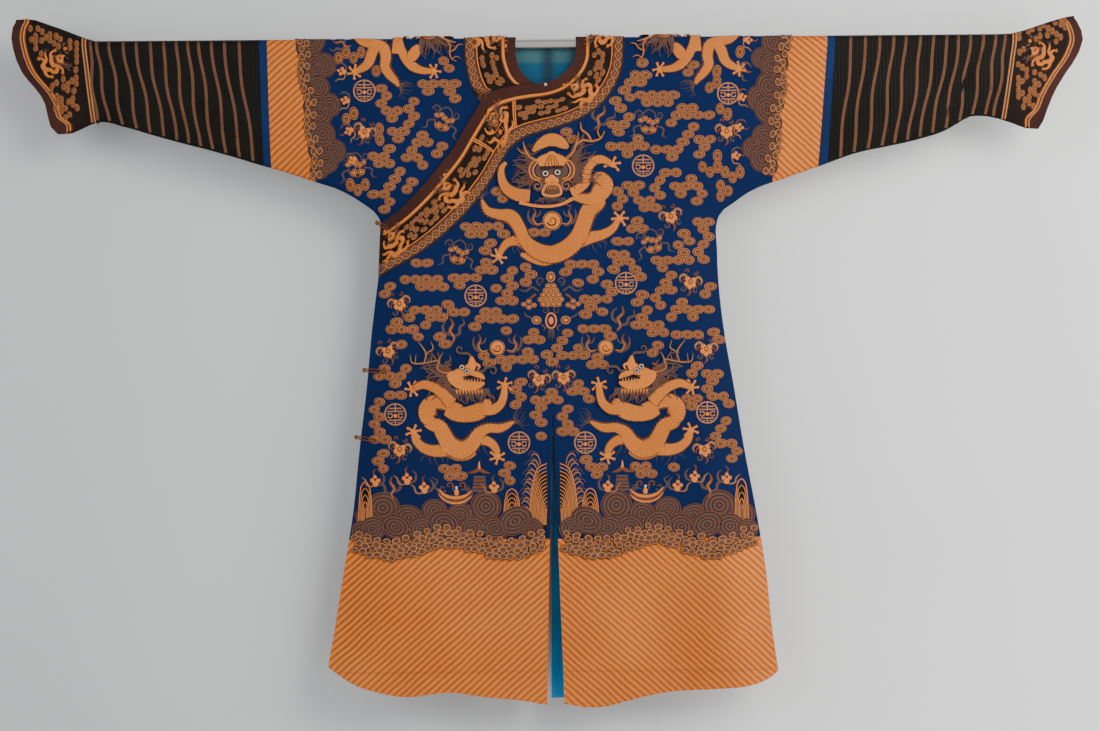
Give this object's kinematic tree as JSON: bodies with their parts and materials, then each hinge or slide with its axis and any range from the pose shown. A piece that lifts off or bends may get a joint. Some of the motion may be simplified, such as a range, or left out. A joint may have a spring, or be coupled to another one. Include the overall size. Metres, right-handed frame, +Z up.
{
  "type": "dragon robe hung on a rod",
  "caption": "Chinese court robe of blue silk with couched gold dragons, clouds and waves, hung flat on a straight metal rod through its sleeves.",
  "frame": {"origin": "middle of the rod's axis, where a hand or hook holds the rod", "axes": "+X along the rod to the wearer's left sleeve, +Y to the back of the robe, +Z up"},
  "size_m": [2.141, 0.0656, 1.3824],
  "materials": {
    "blue_silk": "satin",
    "black_silk": "satin",
    "piping_silk": "satin",
    "brown_silk": "matte",
    "gold_ribbon": "satin",
    "teal_lining": "satin",
    "satin_steel": "satin",
    "brass": "aged"
  },
  "bodies": {
    "root": {"rod": "satin_steel", "body_left": "blue_silk", "body_right": "blue_silk", "front_overlap": "blue_silk", "lining_left": "teal_lining", "lining_right": "teal_lining", "piping_left": "piping_silk", "piping_right": "piping_silk", "sleeve_left": "black_silk", "sleeve_right": "black_silk", "cuff_left": "black_silk", "cuff_right": "black_silk", "cuff_binding_left": "brown_silk", "cuff_binding_right": "brown_silk", "neck_binding": "brown_silk", "collar_band": "black_silk", "collar_edging": "gold_ribbon", "button_neck": "brass", "button_underarm": "brass", "button_side_upper": "brass", "button_side_lower": "brass", "loop_neck": "brown_silk", "loop_underarm": "brown_silk", "loop_side_upper": "brown_silk", "loop_side_lower": "brown_silk"}
  },
  "joints": []
}
